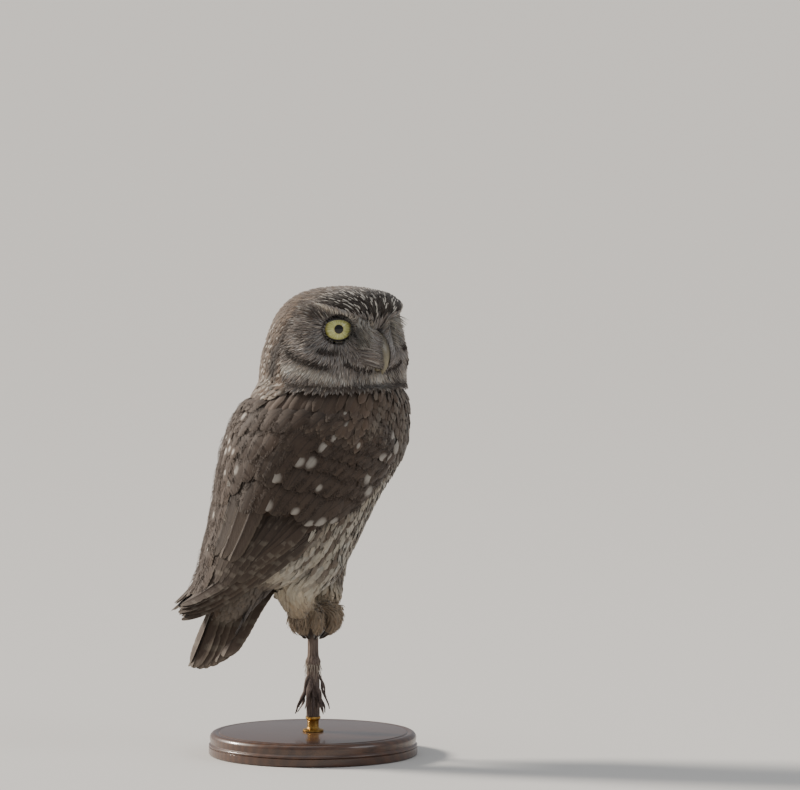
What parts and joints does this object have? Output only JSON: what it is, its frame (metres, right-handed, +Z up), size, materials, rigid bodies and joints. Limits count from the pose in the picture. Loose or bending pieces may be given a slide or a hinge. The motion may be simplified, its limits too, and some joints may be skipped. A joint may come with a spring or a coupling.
{
  "type": "little owl",
  "caption": "Life-size still model of a small brown owl looking over its shoulder, gripping the top of a cut plant stem on a round display stand.",
  "frame": {"origin": "centre of the stand's underside, on the axis of the stem that the bird grips", "axes": "+Z up, +X the way the bird's body faces, +Y to the bird's left; its head is turned to the right"},
  "size_m": [0.1291, 0.11, 0.2467],
  "materials": {
    "head_feathers": "soft brown feathers with pale streaks and a greyish-white face",
    "body_feathers": "soft feathers, brown above and whitish with brown streaks below",
    "wing_feathers": "brown vanes with rounded white spots and pale bars",
    "tail_feathers": "brown vanes with narrow pale bars",
    "leg_feathers": "short whitish to buff bristly feathers",
    "iris": "pale yellow iris, black pupil and rim, wet gloss",
    "bill": "greyish-yellow horn, satin",
    "claw": "blackish-brown horn, satin",
    "stem": "dry ribbed plant stem with withered bracts",
    "base_wood": "dark turned wood, satin varnish",
    "rod_metal": "aged brass"
  },
  "bodies": {
    "root": {"head": "head_feathers", "bill_upper": "bill", "bill_lower": "bill", "eye_left": "iris", "eye_right": "iris", "neck": "body_feathers", "torso": "body_feathers", "wing_left": "wing_feathers", "wing_right": "wing_feathers", "tail": "tail_feathers", "thigh_left": "leg_feathers", "thigh_right": "leg_feathers", "tarsus_left": "leg_feathers", "tarsus_right": "leg_feathers", "foot_left": "leg_feathers", "foot_right": "leg_feathers", "claw_left_1": "claw", "claw_left_2": "claw", "claw_left_3": "claw", "claw_left_4": "claw", "claw_right_1": "claw", "claw_right_2": "claw", "claw_right_3": "claw", "claw_right_4": "claw", "perch_stem": "stem", "stand_base": "base_wood", "stand_rod": "rod_metal"}
  },
  "joints": []
}
